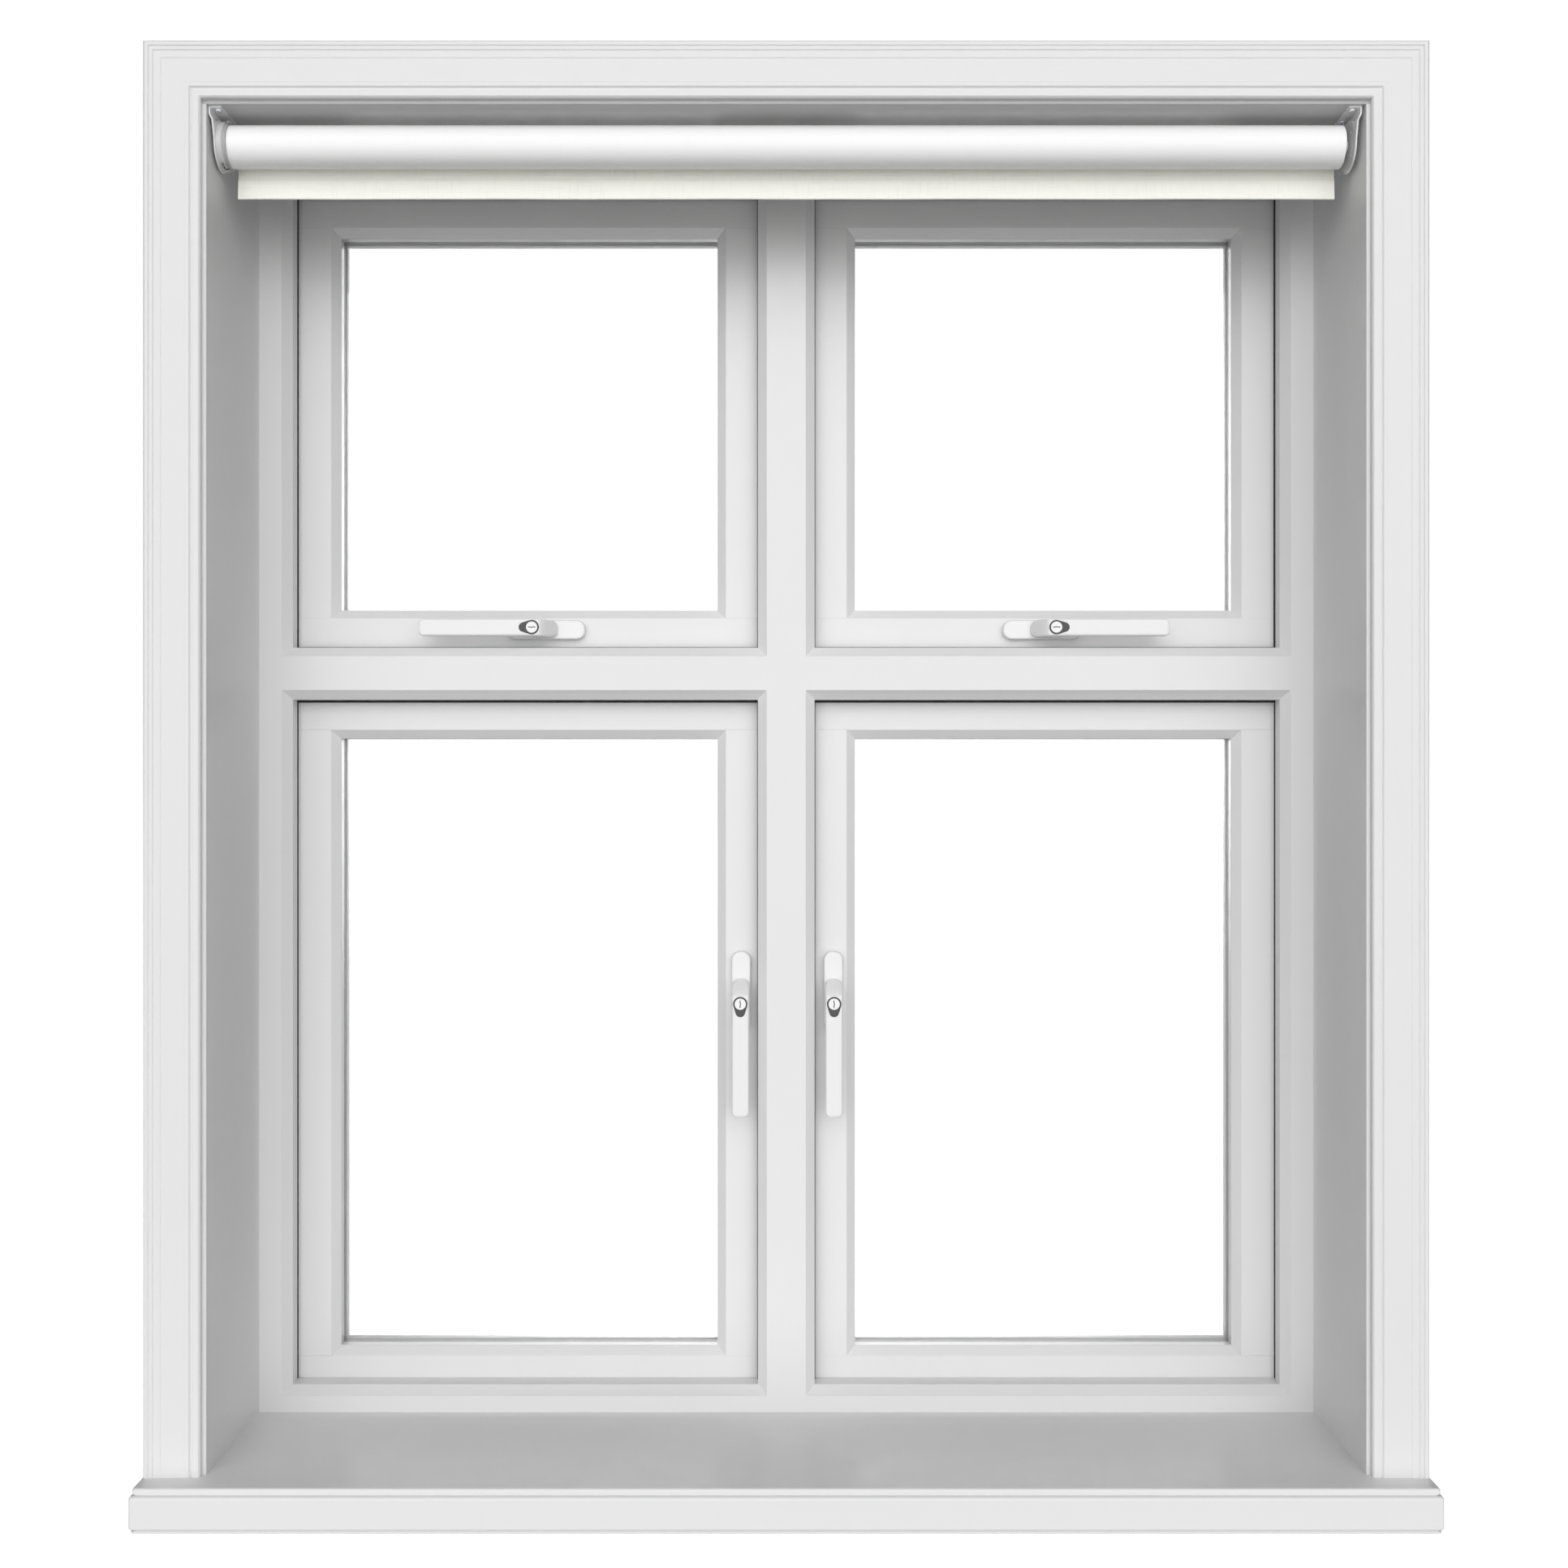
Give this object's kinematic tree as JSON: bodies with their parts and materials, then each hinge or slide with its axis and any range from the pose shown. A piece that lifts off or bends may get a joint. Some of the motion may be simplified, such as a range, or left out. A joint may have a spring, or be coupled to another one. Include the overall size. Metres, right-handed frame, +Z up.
{
  "type": "casement window",
  "caption": "White timber casement window with top-hung and side-hung sashes, lever handles, reveal linings, architrave, window board and a recess roller blind.",
  "frame": {"origin": "middle of the frame's underside, which is the seat on the wall's sill", "axes": "+X right seen from the room, +Y out of doors, +Z up"},
  "size_m": [1.372, 0.356, 1.5691],
  "materials": {
    "painted_timber": "satin white paint",
    "glass": "clear float glass",
    "seal": "matte black",
    "steel": "zinc plated",
    "hinge_metal": "satin",
    "handle_white": "gloss white powder coat",
    "button_grey": "matte",
    "key_white": "white",
    "bracket_white": "white powder coat",
    "blind_plastic": "moulded",
    "aluminium": "mill finish",
    "fabric_white": "coated blind cloth, back face",
    "fabric_cream": "slub linen weave"
  },
  "bodies": {
    "window": {"frame_head": "painted_timber", "frame_cill": "painted_timber", "transom": "painted_timber", "frame_jamb_left": "painted_timber", "frame_jamb_right": "painted_timber", "mullions": "painted_timber", "frame_seals": "seal", "bolt_keeps": "steel", "hinge_frame_leaves": "hinge_metal", "lining_head": "painted_timber", "lining_sides": "painted_timber", "architrave_left": "painted_timber", "architrave_right": "painted_timber", "architrave_head": "painted_timber", "window_board": "painted_timber", "blind_brackets": "bracket_white", "bracket_screws": "steel", "blind_drive_housing": "blind_plastic"},
    "blind_roll": {"blind_tube": "aluminium", "blind_wound_fabric": "fabric_white", "blind_drive_plug": "blind_plastic", "blind_idle_plug": "blind_plastic"},
    "blind_hem": {"blind_fabric_drop": "fabric_cream", "blind_bottom_bar": "aluminium"},
    "sash_upper_left": {"sash_upper_left": "painted_timber", "glazing_unit_upper_left": "glass", "handle_plate_upper_left": "handle_white", "hinge_sash_leaves_upper_left": "hinge_metal"},
    "handle_upper_left": {"handle_lever_upper_left": "handle_white"},
    "button_upper_left": {"lock_button_upper_left": "button_grey"},
    "key_upper_left": {"key_cylinder_upper_left": "key_white"},
    "bolt_a_upper_left": {"bolt_rod_a_upper_left": "steel"},
    "bolt_b_upper_left": {"bolt_rod_b_upper_left": "steel"},
    "sash_upper_right": {"sash_upper_right": "painted_timber", "glazing_unit_upper_right": "glass", "handle_plate_upper_right": "handle_white", "hinge_sash_leaves_upper_right": "hinge_metal"},
    "handle_upper_right": {"handle_lever_upper_right": "handle_white"},
    "button_upper_right": {"lock_button_upper_right": "button_grey"},
    "key_upper_right": {"key_cylinder_upper_right": "key_white"},
    "bolt_a_upper_right": {"bolt_rod_a_upper_right": "steel"},
    "bolt_b_upper_right": {"bolt_rod_b_upper_right": "steel"},
    "sash_lower_left": {"sash_lower_left": "painted_timber", "glazing_unit_lower_left": "glass", "handle_plate_lower_left": "handle_white", "hinge_sash_leaves_lower_left": "hinge_metal"},
    "handle_lower_left": {"handle_lever_lower_left": "handle_white"},
    "button_lower_left": {"lock_button_lower_left": "button_grey"},
    "key_lower_left": {"key_cylinder_lower_left": "key_white"},
    "bolt_a_lower_left": {"bolt_rod_a_lower_left": "steel"},
    "bolt_b_lower_left": {"bolt_rod_b_lower_left": "steel"},
    "sash_lower_right": {"sash_lower_right": "painted_timber", "glazing_unit_lower_right": "glass", "handle_plate_lower_right": "handle_white", "hinge_sash_leaves_lower_right": "hinge_metal"},
    "handle_lower_right": {"handle_lever_lower_right": "handle_white"},
    "button_lower_right": {"lock_button_lower_right": "button_grey"},
    "key_lower_right": {"key_cylinder_lower_right": "key_white"},
    "bolt_a_lower_right": {"bolt_rod_a_lower_right": "steel"},
    "bolt_b_lower_right": {"bolt_rod_b_lower_right": "steel"}
  },
  "joints": [
    {"name": "blind_roll_unwind", "type": "hinge", "parent": "window", "child": "blind_roll", "pos_m": [0, -0.1955, 1.454], "axis": [-1, 0, 0], "range_deg": [0, 3400]},
    {"name": "blind_drop", "type": "slide", "parent": "window", "child": "blind_hem", "axis": [0, 0, -1], "range_m": [0, 1.355], "deforming": ["blind_fabric_drop"]},
    {"name": "sash_open_upper_left", "type": "hinge", "parent": "window", "child": "sash_upper_left", "pos_m": [-0.3067, 0.05, 1.47025], "axis": [1, 0, 0], "range_deg": [0, 45]},
    {"name": "handle_turn_upper_left", "type": "hinge", "parent": "sash_upper_left", "child": "handle_upper_left", "pos_m": [-0.2847, -0.011, 0.946], "axis": [0, 1, 0], "range_deg": [0, 90]},
    {"name": "button_press_upper_left", "type": "slide", "parent": "handle_upper_left", "child": "button_upper_left", "axis": [0, 1, 0], "range_m": [0, 0.0025], "stiffness_N_per_m": 600, "springref_m": -0.002},
    {"name": "key_turn_upper_left", "type": "hinge", "parent": "button_upper_left", "child": "key_upper_left", "pos_m": [-0.2967, -0.054, 0.946], "axis": [0, 1, 0], "range_deg": [0, 90]},
    {"name": "bolt_slide_a_upper_left", "type": "slide", "parent": "sash_upper_left", "child": "bolt_a_upper_left", "axis": [1, 0, 0], "range_m": [0, 0.0181]},
    {"name": "bolt_slide_b_upper_left", "type": "slide", "parent": "sash_upper_left", "child": "bolt_b_upper_left", "axis": [-1, 0, 0], "range_m": [0, 0.0181]},
    {"name": "sash_open_upper_right", "type": "hinge", "parent": "window", "child": "sash_upper_right", "pos_m": [0.3067, 0.05, 1.47025], "axis": [1, 0, 0], "range_deg": [0, 45]},
    {"name": "handle_turn_upper_right", "type": "hinge", "parent": "sash_upper_right", "child": "handle_upper_right", "pos_m": [0.303, -0.011, 0.946], "axis": [0, -1, 0], "range_deg": [0, 90]},
    {"name": "button_press_upper_right", "type": "slide", "parent": "handle_upper_right", "child": "button_upper_right", "axis": [0, 1, 0], "range_m": [0, 0.0025], "stiffness_N_per_m": 600, "springref_m": -0.002},
    {"name": "key_turn_upper_right", "type": "hinge", "parent": "button_upper_right", "child": "key_upper_right", "pos_m": [0.315, -0.054, 0.946], "axis": [0, 1, 0], "range_deg": [0, 90]},
    {"name": "bolt_slide_a_upper_right", "type": "slide", "parent": "sash_upper_right", "child": "bolt_a_upper_right", "axis": [1, 0, 0], "range_m": [0, 0.0181]},
    {"name": "bolt_slide_b_upper_right", "type": "slide", "parent": "sash_upper_right", "child": "bolt_b_upper_right", "axis": [-1, 0, 0], "range_m": [0, 0.0181]},
    {"name": "sash_open_lower_left", "type": "hinge", "parent": "window", "child": "sash_lower_left", "pos_m": [-0.59075, 0.05, 0.46], "axis": [0, 0, 1], "range_deg": [0, 90]},
    {"name": "handle_turn_lower_left", "type": "hinge", "parent": "sash_lower_left", "child": "handle_lower_left", "pos_m": [-0.0536, -0.011, 0.5186], "axis": [0, 1, 0], "range_deg": [0, 90]},
    {"name": "button_press_lower_left", "type": "slide", "parent": "handle_lower_left", "child": "button_lower_left", "axis": [0, 1, 0], "range_m": [0, 0.0025], "stiffness_N_per_m": 600, "springref_m": -0.002},
    {"name": "key_turn_lower_left", "type": "hinge", "parent": "button_lower_left", "child": "key_lower_left", "pos_m": [-0.0536, -0.054, 0.5066], "axis": [0, 1, 0], "range_deg": [0, 90]},
    {"name": "bolt_slide_a_lower_left", "type": "slide", "parent": "sash_lower_left", "child": "bolt_a_lower_left", "axis": [0, 0, -1], "range_m": [0, 0.0181]},
    {"name": "bolt_slide_b_lower_left", "type": "slide", "parent": "sash_lower_left", "child": "bolt_b_lower_left", "axis": [0, 0, 1], "range_m": [0, 0.0181]},
    {"name": "sash_open_lower_right", "type": "hinge", "parent": "window", "child": "sash_lower_right", "pos_m": [0.59075, 0.05, 0.46], "axis": [0, 0, -1], "range_deg": [0, 90]},
    {"name": "handle_turn_lower_right", "type": "hinge", "parent": "sash_lower_right", "child": "handle_lower_right", "pos_m": [0.0558, -0.011, 0.5186], "axis": [0, -1, 0], "range_deg": [0, 90]},
    {"name": "button_press_lower_right", "type": "slide", "parent": "handle_lower_right", "child": "button_lower_right", "axis": [0, 1, 0], "range_m": [0, 0.0025], "stiffness_N_per_m": 600, "springref_m": -0.002},
    {"name": "key_turn_lower_right", "type": "hinge", "parent": "button_lower_right", "child": "key_lower_right", "pos_m": [0.0558, -0.054, 0.5066], "axis": [0, 1, 0], "range_deg": [0, 90]},
    {"name": "bolt_slide_a_lower_right", "type": "slide", "parent": "sash_lower_right", "child": "bolt_a_lower_right", "axis": [0, 0, -1], "range_m": [0, 0.0181]},
    {"name": "bolt_slide_b_lower_right", "type": "slide", "parent": "sash_lower_right", "child": "bolt_b_lower_right", "axis": [0, 0, 1], "range_m": [0, 0.0181]}
  ],
  "couplings": [
    {"joint": "blind_drop", "follows": "blind_roll_unwind", "m_per_rad": 0.0228},
    {"joint": "bolt_slide_a_upper_left", "follows": "handle_turn_upper_left", "m_per_rad": 0.01145},
    {"joint": "bolt_slide_b_upper_left", "follows": "handle_turn_upper_left", "m_per_rad": 0.01145},
    {"joint": "bolt_slide_a_upper_right", "follows": "handle_turn_upper_right", "m_per_rad": 0.01145},
    {"joint": "bolt_slide_b_upper_right", "follows": "handle_turn_upper_right", "m_per_rad": 0.01145},
    {"joint": "bolt_slide_a_lower_left", "follows": "handle_turn_lower_left", "m_per_rad": 0.01145},
    {"joint": "bolt_slide_b_lower_left", "follows": "handle_turn_lower_left", "m_per_rad": 0.01145},
    {"joint": "bolt_slide_a_lower_right", "follows": "handle_turn_lower_right", "m_per_rad": 0.01145},
    {"joint": "bolt_slide_b_lower_right", "follows": "handle_turn_lower_right", "m_per_rad": 0.01145}
  ]
}
